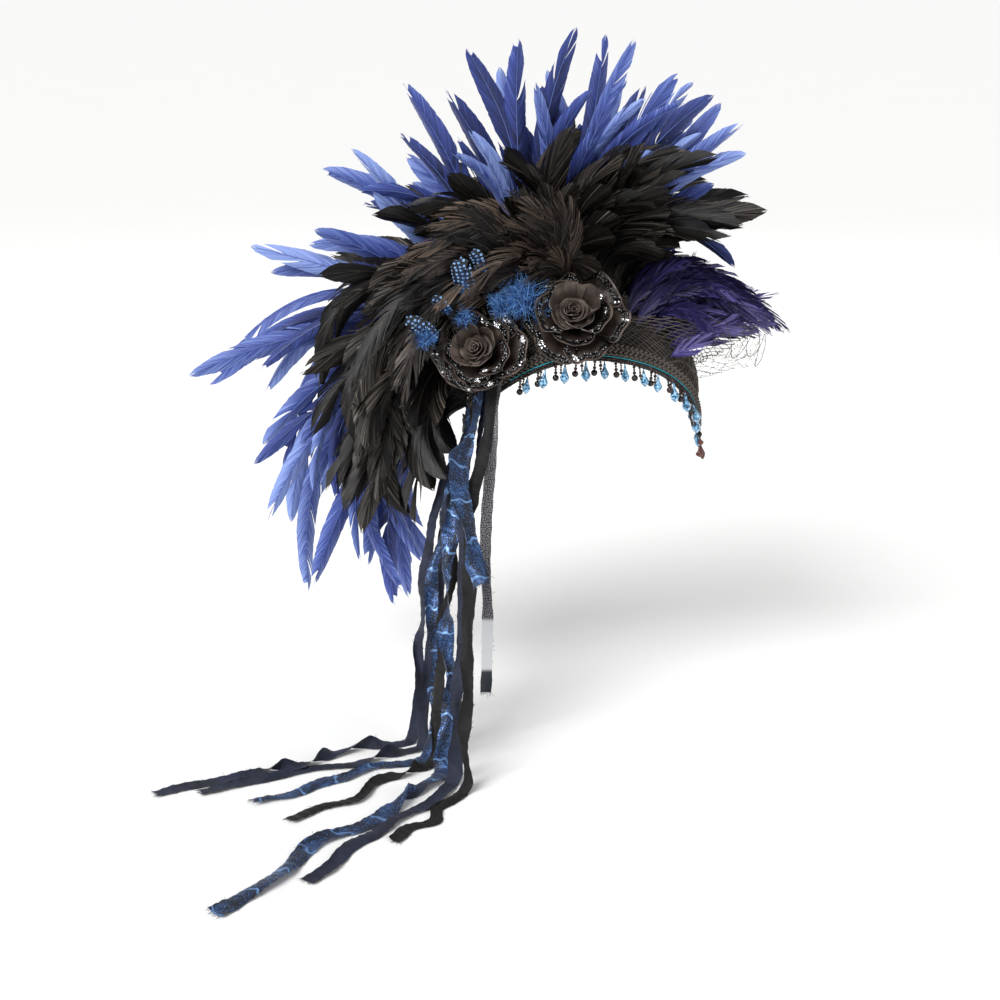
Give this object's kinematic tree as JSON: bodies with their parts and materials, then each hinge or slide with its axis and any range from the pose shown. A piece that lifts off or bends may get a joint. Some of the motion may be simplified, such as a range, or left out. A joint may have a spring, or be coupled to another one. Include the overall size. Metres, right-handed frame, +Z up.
{
  "type": "showgirl feather headdress",
  "caption": "Beaded dome cap with a tall fore-and-aft crest of blue and black plumes, a net frill, two fabric roses and long trailing ribbons.",
  "frame": {"origin": "middle of the head opening, at the level where the dome starts", "axes": "+X the way the wearer faces, -Y the wearer's right, +Z up out of the crown"},
  "size_m": [0.5348, 0.528, 0.5954],
  "materials": {
    "cap_cloth": "dark brown ribbed knit under net",
    "braid": "grey-brown plaited braid",
    "crystal": "faceted light blue crystal drops with dark bead strands",
    "net": "coarse dark diamond net",
    "purple_feather": "deep indigo hackle with a soft sheen",
    "bronze_feather": "bronze and grey-brown plume",
    "black_feather": "black plume with a warm sheen",
    "blue_feather": "royal blue plume, paler at thin tips",
    "rose_satin": "dark brown satin edged with black sequins",
    "ribbon_foil": "black ribbon with metallic blue foil",
    "ribbon_black": "black and slate woven ribbon"
  },
  "bodies": {
    "root": {"cap": "cap_cloth", "braid_trim": "braid", "bead_fringe": "crystal", "net_frill": "net", "purple_hackle_pad": "purple_feather", "side_plume_pad": "bronze_feather", "black_plumes_left_front": "black_feather", "black_plumes_left_top": "black_feather", "black_plumes_left_back": "black_feather", "blue_plumes_left_front": "blue_feather", "blue_plumes_left_top": "blue_feather", "blue_plumes_left_back": "blue_feather", "blue_plumes_right_front": "blue_feather", "blue_plumes_right_top": "blue_feather", "blue_plumes_right_back": "blue_feather", "black_plumes_right_front": "black_feather", "black_plumes_right_top": "black_feather", "black_plumes_right_back": "black_feather", "black_plumes_outer_front": "black_feather", "black_plumes_outer_top": "black_feather", "black_plumes_outer_back": "black_feather", "rose_front_petals_outer": "rose_satin", "rose_front_petals_middle": "rose_satin", "rose_front_petals_inner": "rose_satin", "rose_front_bud": "rose_satin", "rose_back_petals_outer": "rose_satin", "rose_back_petals_middle": "rose_satin", "rose_back_petals_inner": "rose_satin", "rose_back_bud": "rose_satin", "ribbon_1": "ribbon_foil", "ribbon_2": "ribbon_black", "ribbon_3": "ribbon_foil", "ribbon_4": "ribbon_black", "ribbon_5": "ribbon_foil", "ribbon_6": "ribbon_black", "ribbon_7": "ribbon_black", "ribbon_8": "ribbon_foil", "ribbon_9": "ribbon_black", "ribbon_10": "ribbon_black"}
  },
  "joints": []
}
